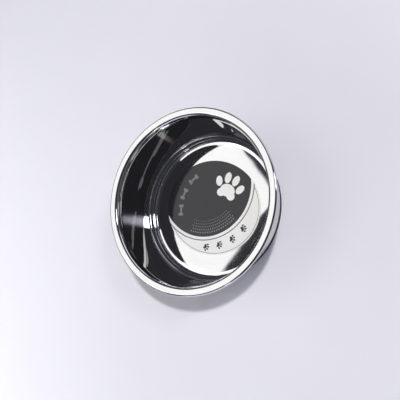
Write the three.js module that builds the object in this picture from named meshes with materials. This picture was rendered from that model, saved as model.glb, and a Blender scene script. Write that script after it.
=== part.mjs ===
// Round pet bowl: a drawn stainless steel shell with a rolled rim, a rubber ring round its foot
// and a paper label stuck on its inner floor. Millimetres, +Z up.
// The origin is on the bowl's axis, on the surface that it stands on.
import * as THREE from 'three';

// Steel shell, sized on the polished face that shows from inside and above, between corners taken as sharp
const rimDiameter = 210;
const edgeHeight = 67.9; // of the rim's outer corner
const sheet = 0.7; // thickness of the steel
const rimWidth = 9.2; // from the top of the wall out to the rim's edge
const rimDish = 0.6; // how far the rim falls from its edge to the wall
const rimHeight = 4.5; // depth of the rolled edge
const curlGap = 1.5; // slot between the end of the roll and the wall
const flareHeight = 6.1; // top part of the wall, which leans out more
const flareTaper = 2.1; // how far that part leans out on its way up
const wallTaper = 7.7; // how far the wall below it leans out
const ledgeWidth = 4.65; // narrow shelf at the foot of the wall
const ledgeRise = 2; // how far the shelf climbs on its way out
const stepHeight = 6.27; // drop from the shelf to the floor's edge
const stepTaper = 0.68; // how far the drop leans in on its way down
const floorSlope = 3.67; // slanting edge of the floor
const floorRise = 0.63; // how far that edge climbs on its way out

// Radii inside the bends of the sheet
const slopeBend = 8;
const floorBend = 1.6;
const ledgeBend = 0.9;
const wallBend = 4;
const flareBend = 25.5;
const rimInnerBend = 2.75;
const rimOuterBend = 1.4;
const curlBend = 0.9;

// Rubber ring, with a lip that lies under the edge of the floor
const ringFoot = 2.2; // rubber under the steel
const ringWall = 1.6; // rubber outside the step
const ringLip = 9; // reach of the lip under the floor
const ringEdge = 0.8; // radius of the edge that shows outside
const ringClearance = 0.3; // to the step and to the shelf above

// Paper label
const labelWidth = 112;
const labelLength = 124.6; // along Y
const labelThickness = 0.2;
const labelShift = 2.6; // the label is stuck this far off the centre, along +Y

// Fineness of the round shapes
const turnSteps = 72; // round the axis
const quarterSteps = 4; // in a quarter of a bend

const steel = new THREE.MeshStandardMaterial({ color: 0xc9c8c7, roughness: 0.08, metalness: 1 });
const rubber = new THREE.MeshStandardMaterial({ color: 0x1d1d1f, roughness: 0.75, metalness: 0 });
const paper = new THREE.MeshStandardMaterial({ color: 0x404043, roughness: 0.45, metalness: 0 });

// Heights and radii that follow from the sizes above
const floorUnder = ringFoot;
const floorTop = floorUnder + sheet;
const stepTopHeight = floorTop + floorRise + stepHeight;
const wallTopHeight = edgeHeight - rimDish;
const curlHeight = edgeHeight - rimHeight;
const rimRadius = rimDiameter / 2;
const wallTopRadius = rimRadius - rimWidth;
const flareRadius = wallTopRadius - flareTaper;
const wallFootRadius = flareRadius - wallTaper;
const stepTopRadius = wallFootRadius - ledgeWidth;
const floorRadius = stepTopRadius - stepTaper;

// Radius of a straight slanting face at a height, from its lower and upper ends
function slantRadius(lower, upper, height) {
  return lower.x + ((upper.x - lower.x) * (height - lower.y)) / (upper.y - lower.y);
}

// What a slanting sheet's thickness, or a gap beside it, measures on the level
function levelWidth(lower, upper, thickness) {
  return (thickness * lower.distanceTo(upper)) / (upper.y - lower.y);
}

// Direction of travel between two points, and the normal on its right-hand side
function direction(from, to) {
  return to.clone().sub(from).normalize();
}

function rightOf(way) {
  return new THREE.Vector2(way.y, -way.x);
}

// Corner of a sheet's face that lies a depth to the right of the corner between two ways of travel
function deepCorner(at, wayIn, wayOut, depth) {
  const before = rightOf(wayIn);
  const after = rightOf(wayOut);
  const mitre = before.clone().add(after).divideScalar(1 + before.dot(after));
  return at.clone().addScaledVector(mitre, depth);
}

// Points of a round corner between two ways of travel, in equal steps
function roundCorner(at, wayIn, wayOut, radius) {
  const turn = Math.atan2(wayIn.cross(wayOut), wayIn.dot(wayOut));
  const start = at.clone().addScaledVector(wayIn, -radius * Math.tan(Math.abs(turn) / 2));
  const centre = start.clone().addScaledVector(rightOf(wayIn), -Math.sign(turn) * radius);
  const steps = Math.max(2, Math.round((quarterSteps * Math.abs(turn)) / (Math.PI / 2)));
  const points = [];
  for (let i = 0; i <= steps; i += 1) {
    points.push(start.clone().rotateAround(centre, (turn * i) / steps));
  }
  return points;
}

// One face of the bent sheet. Corners give the polished face, from the axis out to the end of the roll,
// and depth goes into the metal: 0 on the polished face, the sheet's thickness on the other one.
function sheetFace(corners, depth) {
  const ways = corners.slice(1).map((corner, i) => direction(corners[i].at, corner.at));
  const first = corners[0].at.clone().addScaledVector(rightOf(ways[0]), depth);
  const points = [first];
  for (let i = 1; i < corners.length - 1; i += 1) {
    const at = deepCorner(corners[i].at, ways[i - 1], ways[i], depth);
    const turnsUp = ways[i - 1].cross(ways[i]) > 0;
    const radius = corners[i].bend + (turnsUp ? depth : sheet - depth);
    points.push(...roundCorner(at, ways[i - 1], ways[i], radius));
  }
  const last = corners.length - 1;
  points.push(corners[last].at.clone().addScaledVector(rightOf(ways[last - 1]), depth));
  return points;
}

// A solid turned from a profile of radius and height, which runs outwards along its underside
function turned(name, profile, material) {
  const geometry = new THREE.LatheGeometry(profile, turnSteps);
  geometry.rotateX(Math.PI / 2);
  const mesh = new THREE.Mesh(geometry, material);
  mesh.name = name;
  return mesh;
}

// Steel shell: floor, step, shelf, wall and rim, rolled back under itself to just short of the wall
const stepFoot = new THREE.Vector2(floorRadius, floorTop + floorRise);
const stepTop = new THREE.Vector2(stepTopRadius, stepTopHeight);
const wallFoot = new THREE.Vector2(wallFootRadius, stepTopHeight + ledgeRise);
const flareFoot = new THREE.Vector2(flareRadius, wallTopHeight - flareHeight);
const wallTop = new THREE.Vector2(wallTopRadius, wallTopHeight);

function bowlShell() {
  const wallOutside = slantRadius(flareFoot, wallTop, curlHeight) + levelWidth(flareFoot, wallTop, sheet);
  const corners = [
    { at: new THREE.Vector2(0, floorTop) },
    { at: new THREE.Vector2(floorRadius - floorSlope, floorTop), bend: slopeBend },
    { at: stepFoot, bend: floorBend },
    { at: stepTop, bend: ledgeBend },
    { at: wallFoot, bend: wallBend },
    { at: flareFoot, bend: flareBend },
    { at: wallTop, bend: rimInnerBend },
    { at: new THREE.Vector2(rimRadius, edgeHeight), bend: rimOuterBend },
    { at: new THREE.Vector2(rimRadius, curlHeight), bend: curlBend },
    { at: new THREE.Vector2(wallOutside + curlGap, curlHeight) },
  ];
  const polished = sheetFace(corners, 0);
  const underside = sheetFace(corners, sheet);
  return turned('bowl_shell', [...underside, ...polished.reverse()], steel);
}

// Rubber ring: a wall round the step that follows the shelf above, with the lip under the floor's edge
function baseRing() {
  const standOff = sheet + ringClearance;
  const innerTop = deepCorner(stepTop, direction(stepFoot, stepTop), direction(stepTop, wallFoot), standOff);
  const innerFoot = slantRadius(stepFoot, stepTop, floorUnder) + levelWidth(stepFoot, stepTop, standOff);
  const outer = innerTop.x + ringWall;
  const outerTop = innerTop.y + (ringWall * ledgeRise) / ledgeWidth;
  const lipInner = innerFoot - ringLip;
  const outerFoot = new THREE.Vector2(outer, 0);
  const innerCorner = new THREE.Vector2(innerFoot, floorUnder);
  const outward = new THREE.Vector2(1, 0);
  const inward = new THREE.Vector2(-1, 0);
  const upward = new THREE.Vector2(0, 1);
  const profile = [
    new THREE.Vector2(lipInner, 0),
    ...roundCorner(outerFoot, outward, upward, ringEdge),
    new THREE.Vector2(outer, outerTop),
    innerTop,
    ...roundCorner(innerCorner, direction(innerTop, innerCorner), inward, floorBend + sheet),
    new THREE.Vector2(lipInner, floorUnder),
    new THREE.Vector2(lipInner, 0),
  ];
  return turned('base_ring', profile, rubber);
}

// Paper label: a thin oval that lies on the floor
function floorLabel() {
  const radius = labelWidth / 2;
  const profile = [
    new THREE.Vector2(0, floorTop),
    new THREE.Vector2(radius, floorTop),
    new THREE.Vector2(radius, floorTop + labelThickness),
    new THREE.Vector2(0, floorTop + labelThickness),
  ];
  const label = turned('floor_label', profile, paper);
  label.geometry.scale(1, labelLength / labelWidth, 1);
  label.position.y = labelShift;
  return label;
}

const petBowl = new THREE.Group();
petBowl.add(bowlShell(), baseRing(), floorLabel());

export default petBowl;
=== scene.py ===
import math

import bpy
from mathutils import Matrix, Vector
from mathutils.geometry import delaunay_2d_cdt


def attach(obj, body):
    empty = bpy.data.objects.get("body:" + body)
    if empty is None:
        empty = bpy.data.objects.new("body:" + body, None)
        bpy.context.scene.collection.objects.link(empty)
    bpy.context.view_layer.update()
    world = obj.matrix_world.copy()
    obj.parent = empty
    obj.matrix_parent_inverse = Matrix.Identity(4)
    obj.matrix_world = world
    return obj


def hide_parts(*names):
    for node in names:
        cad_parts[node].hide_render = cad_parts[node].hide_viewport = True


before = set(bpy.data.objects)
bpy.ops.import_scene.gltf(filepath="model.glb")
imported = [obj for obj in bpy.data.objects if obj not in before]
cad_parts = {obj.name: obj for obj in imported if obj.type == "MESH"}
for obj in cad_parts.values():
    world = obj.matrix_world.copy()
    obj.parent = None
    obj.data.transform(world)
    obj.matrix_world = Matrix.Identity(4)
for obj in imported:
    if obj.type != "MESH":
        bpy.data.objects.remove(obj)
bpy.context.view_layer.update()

scene = bpy.context.scene
scene.view_settings.view_transform = "Standard"
mm = 0.001  # every size below is in millimetres, and the scene is in metres
noiseSpan = (0.3, 0.7)  # where most of the values of a noise lie
leastSteps = 3  # in any rounded corner
axisRadius = 1e-6  # a point nearer to the bowl's axis lies on it
profileDigits = 5  # points of a profile that agree to these digits share their vertices
labelDigits = 4  # and so do points of the label
print("frame loaded:", ", ".join(sorted(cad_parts)))


# sRGB hex to linear RGBA
def linearColour(code):
    values = [int(code[i:i + 2], 16) / 255 for i in (1, 3, 5)]
    return [v / 12.92 if v <= 0.04045 else ((v + 0.055) / 1.055) ** 2.4 for v in values] + [1.0]


# adds a node, sets its properties and fills its inputs with values or links
def addNode(tree, kind, inputs=None, **settings):
    node = tree.nodes.new("ShaderNode" + kind)
    for key, value in settings.items():
        setattr(node, key, value)
    for key, value in (inputs or {}).items():
        if isinstance(value, bpy.types.NodeSocket):
            tree.links.new(value, node.inputs[key])
        else:
            node.inputs[key].default_value = value
    return node


# an empty material and its node tree
def newMaterial(name):
    material = bpy.data.materials.new(name)
    material.use_nodes = True
    material.node_tree.nodes.clear()
    return material, material.node_tree


# noise with lumps of a size in millimetres
def noiseAt(tree, place, size, detail):
    noise = addNode(tree, "TexNoise", {"Vector": place, "Scale": 1 / (size * mm), "Detail": detail})
    return noise.outputs["Fac"]


# a colour that goes over to a second one as a factor rises
def twoTone(tree, factor, colour, tint):
    mixed = addNode(tree, "Mix", {"Factor": factor, 6: linearColour(colour), 7: linearColour(tint)},
                    data_type="RGBA")
    return mixed.outputs[2]


# a value that goes from the first of two ends to the second one while another value crosses a span
def spread(tree, value, span, ends, **settings):
    node = addNode(tree, "MapRange", {"Value": value, "From Min": span[0], "From Max": span[1],
                                      "To Min": ends[0], "To Max": ends[1]}, **settings)
    return node.outputs[0]


def fineBump(tree, height, strength, depth):
    bump = addNode(tree, "Bump", {"Height": height, "Strength": strength, "Distance": depth * mm})
    return bump.outputs[0]


def shadeMaterial(tree, inputs):
    shader = addNode(tree, "BsdfPrincipled", inputs)
    addNode(tree, "OutputMaterial", {"Surface": shader.outputs[0]})


def linkObject(name, mesh):
    piece = bpy.data.objects.new(name, mesh)
    scene.collection.objects.link(piece)
    return piece


# points of a profile with its corners rounded, as runs of (place, outward normal); outside is on the right
def roundedRuns(corners, closed, quarterSteps):
    count = len(corners)
    sides = count if closed else count - 1
    places = [Vector(c[:2]) for c in corners]
    ways = [(places[(i + 1) % count] - places[i]).normalized() for i in range(sides)]
    outward = [Vector((w.y, -w.x)) for w in ways]
    arcs = []
    for i in range(count):
        radius = corners[i][2]
        before, after = ways[i - 1], ways[i % len(ways)]
        turn = math.atan2(before.x * after.y - before.y * after.x, before.dot(after))
        if radius == 0 or (not closed and i in (0, count - 1)):
            arcs.append([(places[i], None)])
            continue
        start = places[i] - before * radius * math.tan(abs(turn) / 2)
        side = 1 if turn > 0 else -1
        centre = start - outward[i - 1] * radius * side
        steps = max(leastSteps, round(quarterSteps * abs(turn) / (math.pi / 2)))
        arc = []
        for k in range(steps + 1):
            spin = Matrix.Rotation(turn * k / steps, 2)
            arc.append((centre + spin @ (start - centre), spin @ outward[i - 1]))
        arcs.append(arc)
    runs = []
    for i in range(sides):
        following = arcs[(i + 1) % count]
        runs.append([(arcs[i][-1][0], outward[i]), (following[0][0], outward[i])])
        if len(following) > 1:
            runs.append(following)
    return runs


# a solid turned about the bowl's axis, with exact normals so that mirror images stay clean
def turnedMesh(name, runs, turnSteps):
    vertices, faces, normals, rings = [], [], [], {}

    # numbers of the vertices round one point of the profile, or of the single one on the axis
    def ringAt(place):
        key = (round(place.x, profileDigits), round(place.y, profileDigits))
        if key not in rings:
            count = 1 if place.x < axisRadius else turnSteps
            rings[key] = list(range(len(vertices), len(vertices) + count))
            for i in range(count):
                spin = 2 * math.pi * i / turnSteps
                x, y = place.x * math.cos(spin), place.x * math.sin(spin)
                vertices.append((x * mm, y * mm, place.y * mm))
        return rings[key]

    for run in runs:
        for (place, normal), (nextPlace, nextNormal) in zip(run, run[1:]):
            low, high = ringAt(place), ringAt(nextPlace)
            for i in range(turnSteps):
                j = (i + 1) % turnSteps
                corners = [(low, i, normal), (low, j, normal), (high, j, nextNormal), (high, i, nextNormal)]
                if len(low) == 1:
                    corners.pop(1)
                if len(high) == 1:
                    corners.pop(2)
                faces.append([])
                for part, k, way in corners:
                    spin = 2 * math.pi * k / turnSteps
                    faces[-1].append(part[k % len(part)])
                    normals.append((way.x * math.cos(spin), way.x * math.sin(spin), way.y))
    mesh = bpy.data.meshes.new(name)
    mesh.from_pydata(vertices, [], faces)
    mesh.polygons.foreach_set("use_smooth", [True] * len(faces))
    mesh.normals_split_custom_set(normals)
    return mesh


# Steel shell
shell = {
    "sheet": 0.7,
    # radius, height and inside bend of each corner of the polished face, from the axis to the roll's end;
    # the rim lies 0.01 mm lower than the solid's, to stay inside its box
    "corners": [(0, 2.9, 0), (77, 2.9, 8), (80.67, 3.53, 1.6), (81.35, 9.8, 0.9), (86, 11.8, 4),
                (93.7, 61.2, 25.5), (95.8, 67.29, 2.75), (105, 67.89, 1.4), (105, 63.4, 0.9),
                (96.7, 63.4, 0)],
    "turnSteps": 360,
    "quarterSteps": 16,
    "colour": "#dad9d8",
    "tint": "#cfcecd",
    "ringLine": 0.3,  # buffing lines are nearer 0.05 mm, drawn coarser so that they show
    "ringReach": 2.5,  # radius of a turn in the noise, which breaks a line about 16 times on its way round
    "lineLevels": (0.67, 0.73),  # of the noise, between which the mirror turns to a hazy line
    "roughness": (0.015, 0.12),  # of the mirror and of the lines
    "grainTurn": 0.25,  # turns the long side of the haze across the lines
    "wave": 28,  # length of the slight waves that drawing leaves in the sheet
    "waveDepth": 0.12,
    "waveStrength": 0.35,
}


# corners of one face of the bent sheet, at a depth below the polished one
def sheetCorners(depth):
    corners = shell["corners"]
    places = [Vector(c[:2]) for c in corners]
    ways = [(b - a).normalized() for a, b in zip(places, places[1:])]
    inward = [Vector((w.y, -w.x)) for w in ways]
    found = [(*(places[0] + inward[0] * depth), 0)]
    for i in range(1, len(corners) - 1):
        mitre = (inward[i - 1] + inward[i]) / (1 + inward[i - 1].dot(inward[i]))
        turnsUp = ways[i - 1].x * ways[i].y - ways[i - 1].y * ways[i].x > 0
        radius = corners[i][2] + (depth if turnsUp else shell["sheet"] - depth)
        found.append((*(places[i] + mitre * depth), radius))
    found.append((*(places[-1] + inward[-1] * depth), 0))
    return found


# Stainless steel sheet, deep drawn and then buffed on a lathe: a clean mirror under a faint haze of fine
# rings, with slight waves from the drawing that bend the images in it
def buffedSteel():
    material, tree = newMaterial("buffed_stainless_steel")
    place = addNode(tree, "TexCoord").outputs["Object"]
    split = addNode(tree, "SeparateXYZ", {"Vector": place})
    flat = addNode(tree, "CombineXYZ", {"X": split.outputs["X"], "Y": split.outputs["Y"]})
    radius = addNode(tree, "VectorMath", {0: flat.outputs[0]}, operation="LENGTH")
    way = addNode(tree, "VectorMath", {0: flat.outputs[0]}, operation="NORMALIZE")
    along = addNode(tree, "Math", {0: radius.outputs["Value"], 1: split.outputs["Z"]}, operation="ADD")
    lineAt = addNode(tree, "Math", {0: along.outputs[0], 1: shell["ringLine"] * mm}, operation="DIVIDE")
    turn = addNode(tree, "VectorMath", {0: way.outputs[0], "Scale": shell["ringReach"]}, operation="SCALE")
    turnSplit = addNode(tree, "SeparateXYZ", {"Vector": turn.outputs[0]})
    lineCoord = addNode(tree, "CombineXYZ", {"X": turnSplit.outputs["X"], "Y": turnSplit.outputs["Y"],
                                             "Z": lineAt.outputs[0]})
    lines = addNode(tree, "TexNoise", {"Vector": lineCoord.outputs[0], "Scale": 1.0, "Detail": 2.0})
    waves = noiseAt(tree, place, shell["wave"], 1.0)
    tangent = addNode(tree, "Tangent", direction_type="RADIAL", axis="Z")
    shadeMaterial(tree, {
        "Base Color": twoTone(tree, waves, shell["colour"], shell["tint"]), "Metallic": 1.0,
        "Roughness": spread(tree, lines.outputs["Fac"], shell["lineLevels"], shell["roughness"]),
        "Anisotropic": 1.0, "Anisotropic Rotation": shell["grainTurn"], "Tangent": tangent.outputs[0],
        "Normal": fineBump(tree, waves, shell["waveStrength"], shell["waveDepth"])})
    return material


shellPath = sheetCorners(shell["sheet"]) + sheetCorners(0)[::-1]
shellRuns = roundedRuns(shellPath, False, shell["quarterSteps"])
shellPiece = linkObject("steel_shell", turnedMesh("steel_shell", shellRuns, shell["turnSteps"]))
shellPiece.data.materials.append(buffedSteel())
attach(shellPiece, "root")
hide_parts("bowl_shell")
print("shell:", len(shellPiece.data.polygons), "faces")


# Rubber ring
ring = {
    # radius, height and edge radius, outwards along the underside and back over the top
    "corners": [(72.53, 0, 0.4), (83.88, 0, 0.8), (83.88, 9.8, 0.5), (82.28, 9.11, 0.3), (81.53, 2.2, 2.3),
                (72.53, 2.2, 0.3)],
    "turnSteps": 288,
    "quarterSteps": 6,
    "colour": "#1a1a1c",
    "bloom": "#242427",  # the greyer bloom that rubber gets
    "bloomSize": 18,
    "grit": 0.9,  # sparked moulds are nearer 0.1 mm, drawn coarser so that it shows
    "gritDepth": 0.08,
    "gritStrength": 0.4,
    "roughness": (0.62, 0.8),
}


# EPDM rubber, moulded in a sparked steel mould: matt black with a fine even grain and a slight grey bloom
def mouldedRubber():
    material, tree = newMaterial("moulded_black_rubber")
    place = addNode(tree, "TexCoord").outputs["Object"]
    grain = noiseAt(tree, place, ring["grit"], 2.0)
    bloom = noiseAt(tree, place, ring["bloomSize"], 3.0)
    shadeMaterial(tree, {
        "Base Color": twoTone(tree, bloom, ring["colour"], ring["bloom"]), "IOR": 1.5,
        "Roughness": spread(tree, grain, noiseSpan, ring["roughness"]),
        "Normal": fineBump(tree, grain, ring["gritStrength"], ring["gritDepth"])})
    return material


ringRuns = roundedRuns(ring["corners"], True, ring["quarterSteps"])
ringPiece = linkObject("rubber_ring", turnedMesh("rubber_ring", ringRuns, ring["turnSteps"]))
ringPiece.data.materials.append(mouldedRubber())
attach(ringPiece, "root")
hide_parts("base_ring")
print("ring:", len(ringPiece.data.polygons), "faces")


# Paper label, drawn on its own plane: across is -Y and up is +X of the bowl
label = {
    "halves": (62.3, 56),  # across and up
    "centre": (0, 2.6),
    "underside": 2.9,
    "thickness": 0.2,
    # material, colour and mottle of each look
    "looks": {"ink": ("charcoal_ink_on_paper", "#29292c", "#252528"),
              "paper": ("coated_white_paper", "#fbfaf8", "#f5f4f1"),
              "grey": ("grey_ink_on_paper", "#7c7c7f", "#757578")},
    "mottleSize": 9,
    "fibre": 0.8,  # paper fibres are nearer 0.03 mm wide, drawn coarser so that they show
    "fibreDepth": 0.02,
    "fibreStrength": 0.25,
    "roughness": (0.06, 0.12),
    "outlineSteps": 180,
    "edgeLine": [(1.6, "grey"), (2.2, "paper")],  # how far in each look starts
    "moon": (-17, 21),  # middle of the dark round that leaves a white crescent
    "moonBands": [(64.5, "grey"), (63.2, "paper"), (60, "ink")],
    "moonSteps": 200,
    # across, up, scale, tilt and look
    "paws": [(13, 25, 1.0, -8, "paper"), (46, -14, 0.24, -52, "ink"), (36, -29, 0.24, -70, "ink"),
             (22, -40, 0.24, -84, "ink"), (6, -47, 0.24, -100, "ink")],
    # across, up, half width, half height and lean of the three lobes of a pad and of four toes
    "pawLobes": [(0, -1, 10, 7.5, 0), (-6.5, -5.5, 6, 5, 25), (6.5, -5.5, 6, 5, -25),
                 (-15, 5.5, 4.2, 6.2, 28), (-5.6, 13, 4.3, 6.6, 8), (5.6, 13, 4.3, 6.6, -8),
                 (15, 5.5, 4.2, 6.2, -28)],
    "lobeSteps": 40,
    "bones": [(-36, 26, 1.0, 55, "grey"), (-43, 6, 1.0, 80, "grey"), (-41, -14, 1.0, 105, "grey")],
    "boneShaft": (5, 1.3),  # half sizes
    "boneKnobs": (5.2, 1.5),  # places along and across, either way
    "knobRadius": 1.9,
    "knobSteps": 20,
    # dots in rows round the middle of the dark round, each row inside the one before
    "dotRows": 5,
    "dotCount": 20,  # in a row
    "dotsFrom": 55,  # radius of the first row
    "dotPitch": 3.4,  # between the rows
    "dotsStart": -92,  # angle of the first dot
    "dotsStep": 3.3,  # angle between two dots
    "dotSize": 1.0,  # radius of a dot in the first row
    "dotShrink": 0.13,  # share of it that each later row loses
    "dotSteps": 12,
}
labelLooks = list(label["looks"])


def ellipse(across, up, wide, high, steps, tilt=0.0):
    spin = Matrix.Rotation(math.radians(tilt), 2)
    corners = []
    for i in range(steps):
        a = 2 * math.pi * i / steps
        corners.append(Vector((across, up)) + spin @ Vector((wide * math.cos(a), high * math.sin(a))))
    return corners


# a paw print as ellipses
def paw(across, up, size, tilt):
    spin = Matrix.Rotation(math.radians(tilt), 2)
    outlines = []
    for x, y, wide, high, lean in label["pawLobes"]:
        at = spin @ Vector((x, y)) * size
        outlines.append(ellipse(across + at.x, up + at.y, wide * size, high * size, label["lobeSteps"],
                                lean + tilt))
    return outlines


# a bone: a straight shaft with two knobs at each end
def bone(across, up, size, tilt):
    spin = Matrix.Rotation(math.radians(tilt), 2)
    at = Vector((across, up))
    x, y = label["boneShaft"]
    outlines = [[at + spin @ Vector(c) * size for c in ((-x, -y), (x, -y), (x, y), (-x, y))]]
    x, y = label["boneKnobs"]
    radius = label["knobRadius"] * size
    for c in ((-x, -y), (-x, y), (x, -y), (x, y)):
        knob = at + spin @ Vector(c) * size
        outlines.append(ellipse(knob.x, knob.y, radius, radius, label["knobSteps"]))
    return outlines


# what a printer would lay down, later shapes over earlier ones: outline and look
def labelShapes():
    wide, high = label["halves"]
    x, y = label["moon"]
    shapes = []
    for inset, look in [(0, "paper")] + label["edgeLine"]:
        shapes.append((ellipse(0, 0, wide - inset, high - inset, label["outlineSteps"]), look))
    for radius, look in label["moonBands"]:
        shapes.append((ellipse(x, y, radius, radius, label["moonSteps"]), look))
    for across, up, scale, tilt, look in label["paws"]:
        shapes += [(outline, look) for outline in paw(across, up, scale, tilt)]
    for across, up, scale, tilt, look in label["bones"]:
        shapes += [(outline, look) for outline in bone(across, up, scale, tilt)]
    for row in range(label["dotRows"]):
        radius = label["dotsFrom"] - row * label["dotPitch"]
        for k in range(label["dotCount"]):
            turn = math.radians(label["dotsStart"] + (k + (row % 2) / 2) * label["dotsStep"])
            across, up = x + radius * math.cos(turn), y + radius * math.sin(turn)
            dot = label["dotSize"] * (1 - label["dotShrink"] * row)
            shapes.append((ellipse(across, up, dot, dot, label["dotSteps"]), "grey"))
    return shapes


def labelMesh():
    shapes = labelShapes()
    points, loops = [], []
    for outline, look in shapes:
        loops.append(list(range(len(points), len(points) + len(outline))))
        points.extend(outline)
    # the faces inside the outlines, and with facesOf the outlines that each of them lies in
    insideOnly, tolerance = 1, 1e-5
    found = delaunay_2d_cdt(points, [], loops, insideOnly, tolerance)
    flat, faces, facesOf = found[0], found[2], found[5]
    high = label["underside"] + label["thickness"]
    vertices, polygons, looks, known = [], [], [], {}

    def corner(p, height):
        key = (round(p.x, labelDigits), round(p.y, labelDigits), height)
        if key not in known:
            known[key] = len(vertices)
            x, y = label["centre"]
            vertices.append(((x + p.y) * mm, (y - p.x) * mm, height * mm))
        return known[key]

    for face, sources in zip(faces, facesOf):
        if 0 in sources:  # the rest lies outside the paper
            polygons.append([corner(flat[i], high) for i in face])
            looks.append(labelLooks.index(shapes[max(sources)][1]))
    edge, low = shapes[0][0], label["underside"]
    for a, b in zip(edge, edge[1:] + edge[:1]):
        polygons.append([corner(a, low), corner(b, low), corner(b, high), corner(a, high)])
    polygons.append([corner(p, low) for p in reversed(edge)])
    looks += [labelLooks.index("paper")] * (len(polygons) - len(looks))
    mesh = bpy.data.meshes.new("label")
    mesh.from_pydata(vertices, [], polygons)
    mesh.polygons.foreach_set("material_index", looks)
    return mesh


# Coated paper, offset printed and gloss varnished: an even film of ink that mirrors the light above it a
# little blurred, over a faint fibre
def printedPaper(name, colour, tint):
    material, tree = newMaterial(name)
    place = addNode(tree, "TexCoord").outputs["Object"]
    fibre = noiseAt(tree, place, label["fibre"], 3.0)
    mottle = noiseAt(tree, place, label["mottleSize"], 2.0)
    shadeMaterial(tree, {
        "Base Color": twoTone(tree, mottle, colour, tint), "IOR": 1.45,
        "Roughness": spread(tree, fibre, noiseSpan, label["roughness"]),
        "Normal": fineBump(tree, fibre, label["fibreStrength"], label["fibreDepth"])})
    return material


labelPiece = linkObject("printed_label", labelMesh())
for lookName, lookColour, lookTint in label["looks"].values():
    labelPiece.data.materials.append(printedPaper(lookName, lookColour, lookTint))
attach(labelPiece, "root")
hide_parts("floor_label")
print("label:", len(labelPiece.data.polygons), "faces")


# Table top, a wide pale disc
table = {
    "radius": 6000,
    "steps": 96,
    "colour": "#e4e3e8",
    "tint": "#e1e0e6",
    "mottleSize": 60,
    "roughness": 0.7,
    "shine": 0.2,
}


# Matt laminate: an even pale surface with a barely seen mottle
def mattLaminate():
    material, tree = newMaterial("matt_pale_laminate")
    place = addNode(tree, "TexCoord").outputs["Object"]
    mottle = noiseAt(tree, place, table["mottleSize"], 3.0)
    shadeMaterial(tree, {
        "Base Color": twoTone(tree, mottle, table["colour"], table["tint"]), "IOR": 1.45,
        "Roughness": table["roughness"], "Specular IOR Level": table["shine"]})
    return material


tableMesh = bpy.data.meshes.new("table")
tableEdge = ellipse(0, 0, table["radius"], table["radius"], table["steps"])
tableMesh.from_pydata([(p.x * mm, p.y * mm, 0) for p in tableEdge], [], [list(range(table["steps"]))])
tablePiece = linkObject("table", tableMesh)
tableMesh.materials.append(mattLaminate())
print("table ready")


# Studio: a dark room with two pale walls, a white ceiling panel, a white card at each side and lamps
studio = {
    "backdrop": "#dddce3",  # what the camera sees past the table, which lights nothing
    "room": 0.062,  # light of the dark room above the walls
    "wall": 1.5,  # light of the pale walls at both ends of X
    "wallColour": "#dcdff2",
    "wallTop": (0.42, 0.5),  # sine of the elevation where the pale walls start and stop fading
    "wallLean": 0.15,  # how far the pale walls reach round to -Y
    "wallEnds": (0.88, 0.96),  # how squarely a direction faces them where they start and are full
    "wallRest": 0.15,  # share of their light on the other walls
    "horizon": 0.05,  # least sine of the elevation that the slopes below are worked out for
    # boards as slopes away from overhead along X and Y: a corner, then direction and length of two edges
    "panel": {"corner": (0.055, 0.432), "edges": [(160, 0.86), (55.4, 0.66)], "level": 1.38},
    "cards": {"corner": (0.118, 0.295), "edges": [(0, 0.157), (90, 0.4)], "level": 1.6},  # one at each side
    "softEdge": 0.005,
    "boardColour": "#fefeff",
    # a soft round light as azimuth and elevation, with the angles off its middle where it ends and is full
    "spot": {"azimuth": -47, "elevation": 43, "reach": (8, 3.5), "level": 17},
    # the steel shows only the mirrored lamps
    "lamps": {
        "key": {"azimuth": -47, "elevation": 64.5, "distance": 2600, "size": (160, 160), "power": 40,
                "colour": "#fffefd", "mirrored": False},
        "fill": {"azimuth": 132, "elevation": 27, "distance": 710, "size": (1000, 190), "power": 2.2,
                 "colour": "#fbfbff", "mirrored": False},
        "side": {"azimuth": 199, "elevation": 38, "distance": 2200, "size": (200, 130), "power": 0.6,
                 "colour": "#fff8ee", "mirrored": True},
    },
}


# direction from the bowl to a light
def skyWay(plan):
    turn, rise = math.radians(plan["azimuth"]), math.radians(plan["elevation"])
    return Vector((math.cos(turn) * math.cos(rise), math.sin(turn) * math.cos(rise), math.sin(rise)))


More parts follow.
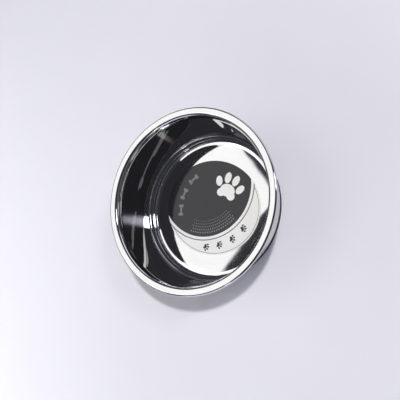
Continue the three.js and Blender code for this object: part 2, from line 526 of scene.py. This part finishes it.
def studioWorld():
    world = bpy.data.worlds.new("studio")
    world.use_nodes = True
    tree = world.node_tree
    tree.nodes.clear()
    sight = addNode(tree, "TexCoord").outputs["Generated"]
    way = addNode(tree, "SeparateXYZ", {"Vector": sight})

    # 1 inside a board, 0 outside it
    def onBoard(slopes, plan):
        fromCorner = addNode(tree, "VectorMath", {0: slopes, 1: (*plan["corner"], 0)}, operation="SUBTRACT")
        (firstTurn, firstLength), (lastTurn, lastLength) = plan["edges"]
        lean = math.sin(math.radians(lastTurn - firstTurn))
        parts = []
        for turn, sign, length in ((lastTurn, 1, firstLength), (firstTurn, -1, lastLength)):
            angle = math.radians(turn)
            across = (sign * math.sin(angle) / lean, -sign * math.cos(angle) / lean, 0)
            reach = addNode(tree, "VectorMath", {0: fromCorner.outputs[0], 1: across},
                            operation="DOT_PRODUCT")
            off = addNode(tree, "Math", {0: reach.outputs["Value"], 1: length / 2}, operation="SUBTRACT")
            span = addNode(tree, "Math", {0: off.outputs[0]}, operation="ABSOLUTE")
            edge = (length / 2 - studio["softEdge"], length / 2)
            parts.append(spread(tree, span.outputs[0], edge, (1.0, 0.0)))
        return addNode(tree, "Math", {0: parts[0], 1: parts[1]}, operation="MULTIPLY").outputs[0]

    flat = addNode(tree, "CombineXYZ", {"X": way.outputs["X"], "Y": way.outputs["Y"]})
    level = addNode(tree, "VectorMath", {0: flat.outputs[0]}, operation="NORMALIZE")
    levelWay = addNode(tree, "SeparateXYZ", {"Vector": level.outputs[0]})
    ends = addNode(tree, "Math", {0: levelWay.outputs["X"]}, operation="ABSOLUTE")
    side = addNode(tree, "Math", {0: levelWay.outputs["Y"], 1: -studio["wallLean"], 2: ends.outputs[0]},
                   operation="MULTIPLY_ADD")
    pale = spread(tree, side.outputs[0], studio["wallEnds"],
                  (studio["wallRest"] * studio["wall"], studio["wall"]))
    wall = spread(tree, way.outputs["Z"], studio["wallTop"], (pale, studio["room"]),
                  interpolation_type="SMOOTHSTEP")
    overhead = addNode(tree, "Math", {0: way.outputs["Z"], 1: studio["horizon"]}, operation="MAXIMUM")
    slopes = addNode(tree, "VectorMath", {0: sight, 1: overhead.outputs[0]}, operation="DIVIDE")
    slope = addNode(tree, "SeparateXYZ", {"Vector": slopes.outputs[0]})
    aside = addNode(tree, "Math", {0: slope.outputs["X"]}, operation="ABSOLUTE")
    sides = addNode(tree, "CombineXYZ", {"X": aside.outputs[0], "Y": slope.outputs["Y"]})
    panel = onBoard(slopes.outputs[0], studio["panel"])
    cards = onBoard(sides.outputs[0], studio["cards"])
    white = addNode(tree, "Math", {0: panel, 1: cards}, operation="MAXIMUM")
    near = addNode(tree, "VectorMath", {0: sight, 1: skyWay(studio["spot"])}, operation="DOT_PRODUCT")
    spotReach = [math.cos(math.radians(a)) for a in studio["spot"]["reach"]]
    spot = spread(tree, near.outputs["Value"], spotReach, (0.0, studio["spot"]["level"]),
                  interpolation_type="SMOOTHSTEP")
    light = addNode(tree, "Math", {0: wall, 1: spot}, operation="ADD")
    for board, plan in ((panel, studio["panel"]), (cards, studio["cards"])):
        light = addNode(tree, "Math", {0: board, 1: plan["level"], 2: light.outputs[0]},
                        operation="MULTIPLY_ADD")
    colour = twoTone(tree, white.outputs[0], studio["wallColour"], studio["boardColour"])
    room = addNode(tree, "Background", {"Color": colour, "Strength": light.outputs[0]})
    backdrop = addNode(tree, "Background", {"Color": linearColour(studio["backdrop"])})
    seen = addNode(tree, "LightPath").outputs["Is Camera Ray"]
    shown = addNode(tree, "MixShader", {0: seen, 1: room.outputs[0], 2: backdrop.outputs[0]})
    addNode(tree, "OutputWorld", {"Surface": shown.outputs[0]})
    scene.world = world


def studioLamp(name, plan):
    lamp = bpy.data.lights.new(name, "AREA")
    lamp.shape = "RECTANGLE"
    lamp.size, lamp.size_y = (s * mm for s in plan["size"])
    lamp.energy = plan["power"]
    lamp.color = linearColour(plan["colour"])[:3]
    holder = bpy.data.objects.new(name, lamp)
    scene.collection.objects.link(holder)
    holder.visible_glossy = plan["mirrored"]
    holder.visible_camera = False
    way = skyWay(plan)
    holder.location = way * plan["distance"] * mm
    holder.rotation_euler = way.to_track_quat("Z", "Y").to_euler()


studioWorld()
for lampName, lampPlan in studio["lamps"].items():
    studioLamp(lampName, lampPlan)
print("studio ready")


# Camera, from the photograph's rim, floor and mirror images
view = {
    "place": (0, -347.73, 637.35),
    "aim": (4.16, 22.08, 2.7),
    "roll": -73.166,
    "lens": 54.93,
    "sensor": 36,
    "clip": (50, 30000),
}


def viewCamera():
    data = bpy.data.cameras.new("view")
    data.sensor_width = view["sensor"]
    data.lens = view["lens"]
    data.clip_start, data.clip_end = (distance * mm for distance in view["clip"])
    camera = bpy.data.objects.new("view", data)
    scene.collection.objects.link(camera)
    place, aim = Vector(view["place"]) * mm, Vector(view["aim"]) * mm
    facing = (aim - place).to_track_quat("-Z", "Y").to_matrix()
    camera.matrix_world = (Matrix.Translation(place)
                           @ (facing @ Matrix.Rotation(math.radians(view["roll"]), 3, "Z")).to_4x4())
    scene.camera = camera


viewCamera()
print("camera ready")
